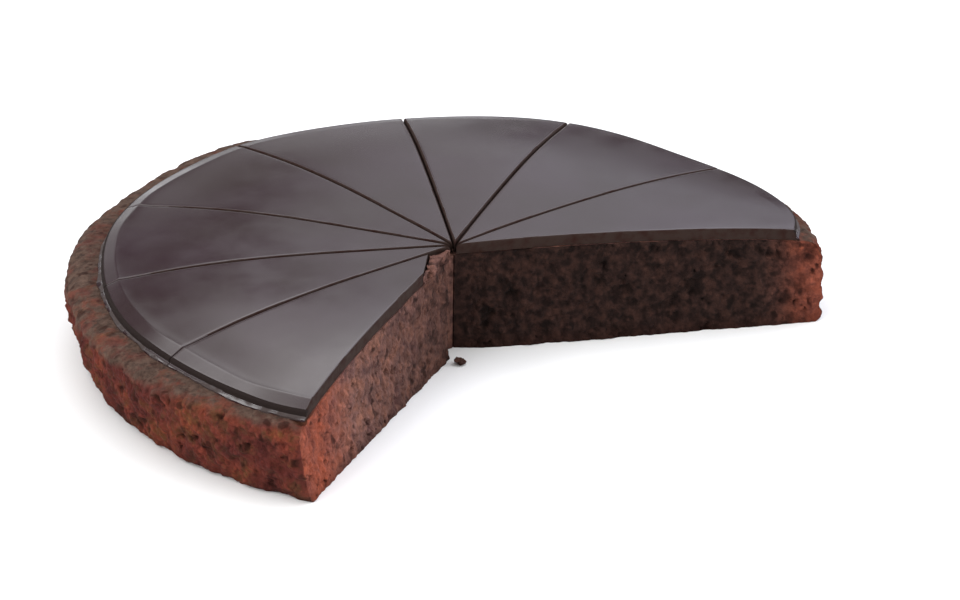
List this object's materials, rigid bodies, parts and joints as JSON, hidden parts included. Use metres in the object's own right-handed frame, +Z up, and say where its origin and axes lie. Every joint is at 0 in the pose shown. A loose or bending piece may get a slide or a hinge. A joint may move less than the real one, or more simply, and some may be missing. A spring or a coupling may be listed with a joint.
{
  "type": "chocolate cake",
  "caption": "Round chocolate cake with a dense crumb and a smooth dark glaze, cut into wedge slices, with a wide gap where some have been taken.",
  "frame": {"origin": "centre of the bounding box, on the flat base the cake rests on, a few millimetres from where the cuts meet", "axes": "+Z up, the least size; +X to the right along the greatest width; -Y towards the open side where slices were taken"},
  "size_m": [0.2586, 0.2525, 0.039],
  "materials": {
    "sponge": "matt, crumbly, porous",
    "glaze": "satin, smooth, soft reflections"
  },
  "bodies": {
    "root": {"sponge_slice_1": "sponge", "sponge_slice_2": "sponge", "sponge_slice_3": "sponge", "sponge_slice_4": "sponge", "sponge_slice_5": "sponge", "sponge_slice_6": "sponge", "sponge_slice_7": "sponge", "sponge_slice_8": "sponge", "glaze_slice_1": "glaze", "glaze_slice_2": "glaze", "glaze_slice_3": "glaze", "glaze_slice_4": "glaze", "glaze_slice_5": "glaze", "glaze_slice_6": "glaze", "glaze_slice_7": "glaze", "glaze_slice_8": "glaze"}
  },
  "joints": []
}
